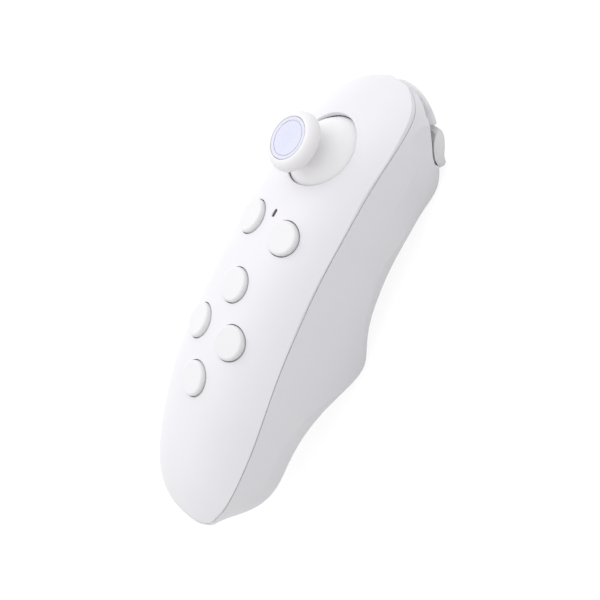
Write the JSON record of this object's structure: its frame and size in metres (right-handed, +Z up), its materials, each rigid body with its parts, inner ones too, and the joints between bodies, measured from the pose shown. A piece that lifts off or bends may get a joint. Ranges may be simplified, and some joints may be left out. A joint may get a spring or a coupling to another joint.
{
  "type": "vr remote",
  "caption": "Slim hand-held remote with a thumb stick and round keys on a crowned face, finger triggers at the nose and a battery cover below.",
  "frame": {"origin": "middle of the footprint, on the plane the remote rests on", "axes": "+X to the user's right across the remote, +Y along its length to the nose with the triggers, +Z up out of the key face"},
  "size_m": [0.0452, 0.1365, 0.046],
  "materials": {
    "top_shell": "satin white moulded shell",
    "bottom_shell": "satin white moulded shell",
    "battery_cover": "satin white moulded cover",
    "key_back": "smooth white key",
    "key_left": "smooth white key",
    "key_right": "smooth white key",
    "key_middle": "smooth white key",
    "key_front_left": "smooth white key",
    "key_front_right": "smooth white key",
    "keypad_mat": "soft grey silicone",
    "key_board": "green circuit board",
    "radio_chip": "black moulded chip",
    "crystal": "drawn metal can",
    "capacitors": "tan ceramic",
    "light_emitter": "small clear emitter",
    "light_window": "smoked window",
    "housing_screws": "cross head screws",
    "board_screws": "cross head screws",
    "stick_board": "green circuit board",
    "stick_frame": "folded metal can",
    "stick_pots": "dark moulded sensor",
    "stick_ring": "natural moulded ring",
    "stick_shaft": "natural moulded shaft",
    "stick_dome": "satin pale dome",
    "stick_cap": "satin white thumb cap",
    "stick_inlay": "pale lavender blue inlay with fine rings",
    "stick_spring": "spring wire",
    "upper_trigger": "satin white trigger",
    "lower_trigger": "satin white trigger",
    "trigger_pins": "ground steel pins",
    "upper_spring": "spring wire",
    "lower_spring": "spring wire",
    "trigger_board": "green circuit board",
    "trigger_switches": "black moulded switch",
    "battery_cells": null,
    "battery_plates": "plated contact",
    "battery_springs": "plated spring wire",
    "wire_plus": "red sleeve",
    "wire_minus": "black sleeve",
    "sockets": "cream moulded socket",
    "flat_cable": "flat ribbon"
  },
  "bodies": {
    "case": {"top_shell": "top_shell", "bottom_shell": "bottom_shell", "keypad_mat": "keypad_mat", "key_board": "key_board", "radio_chip": "radio_chip", "crystal": "crystal", "capacitors": "capacitors", "light_emitter": "light_emitter", "light_window": "light_window", "housing_screws": "housing_screws", "board_screws": "board_screws", "stick_board": "stick_board", "stick_frame": "stick_frame", "stick_pots": "stick_pots", "stick_spring": "stick_spring", "trigger_pins": "trigger_pins", "upper_spring": "upper_spring", "lower_spring": "lower_spring", "trigger_board": "trigger_board", "trigger_switches": "trigger_switches", "battery_cells": "battery_cells", "battery_plates": "battery_plates", "battery_springs": "battery_springs", "wire_plus": "wire_plus", "wire_minus": "wire_minus", "sockets": "sockets", "flat_cable": "flat_cable"},
    "key_back_body": {"key_back": "key_back"},
    "key_left_body": {"key_left": "key_left"},
    "key_right_body": {"key_right": "key_right"},
    "key_middle_body": {"key_middle": "key_middle"},
    "key_front_left_body": {"key_front_left": "key_front_left"},
    "key_front_right_body": {"key_front_right": "key_front_right"},
    "gimbal": {"stick_ring": "stick_ring"},
    "stick": {"stick_shaft": "stick_shaft", "stick_dome": "stick_dome", "stick_cap": "stick_cap", "stick_inlay": "stick_inlay"},
    "upper_trigger_body": {"upper_trigger": "upper_trigger"},
    "lower_trigger_body": {"lower_trigger": "lower_trigger"},
    "cover": {"battery_cover": "battery_cover"}
  },
  "joints": [
    {"name": "key_back_press", "type": "slide", "parent": "case", "child": "key_back_body", "axis": [0, 0.1446, -0.9895], "range_m": [0, 0.001], "stiffness_N_per_m": 800, "deforming": ["keypad_mat"]},
    {"name": "key_left_press", "type": "slide", "parent": "case", "child": "key_left_body", "axis": [0.2208, 0.0067, -0.9753], "range_m": [0, 0.001], "stiffness_N_per_m": 800, "deforming": ["keypad_mat"]},
    {"name": "key_right_press", "type": "slide", "parent": "case", "child": "key_right_body", "axis": [-0.2208, 0.0067, -0.9753], "range_m": [0, 0.001], "stiffness_N_per_m": 800, "deforming": ["keypad_mat"]},
    {"name": "key_middle_press", "type": "slide", "parent": "case", "child": "key_middle_body", "axis": [0, -0.0337, -0.9994], "range_m": [0, 0.001], "stiffness_N_per_m": 800, "deforming": ["keypad_mat"]},
    {"name": "key_front_left_press", "type": "slide", "parent": "case", "child": "key_front_left_body", "axis": [0.219, -0.1258, -0.9676], "range_m": [0, 0.001], "stiffness_N_per_m": 800, "deforming": ["keypad_mat"]},
    {"name": "key_front_right_press", "type": "slide", "parent": "case", "child": "key_front_right_body", "axis": [-0.219, -0.1258, -0.9676], "range_m": [0, 0.001], "stiffness_N_per_m": 800, "deforming": ["keypad_mat"]},
    {"name": "stick_tilt_forward", "type": "hinge", "parent": "case", "child": "gimbal", "pos_m": [0, 0.03922, 0.02368], "axis": [1, 0, 0], "range_deg": [-14, 14], "stiffness_Nm_per_rad": 0.03, "deforming": ["stick_spring"]},
    {"name": "stick_tilt_side", "type": "hinge", "parent": "gimbal", "child": "stick", "pos_m": [0, 0.03922, 0.02368], "axis": [0, 0.9874, -0.1582], "range_deg": [-14, 14], "stiffness_Nm_per_rad": 0.03, "deforming": ["stick_spring"]},
    {"name": "upper_trigger_pull", "type": "hinge", "parent": "case", "child": "upper_trigger_body", "pos_m": [0, 0.06085, 0.0166], "axis": [-1, 0, 0], "range_deg": [0, 10], "stiffness_Nm_per_rad": 0.25, "deforming": ["upper_spring"]},
    {"name": "lower_trigger_pull", "type": "hinge", "parent": "case", "child": "lower_trigger_body", "pos_m": [0, 0.05355, 0.0115], "axis": [-1, 0, 0], "range_deg": [0, 7], "stiffness_Nm_per_rad": 0.25, "deforming": ["lower_spring"]},
    {"name": "battery_cover_off", "type": "slide", "parent": "case", "child": "cover", "axis": [0, 0, -1], "range_m": [0, 0.03]}
  ]
}
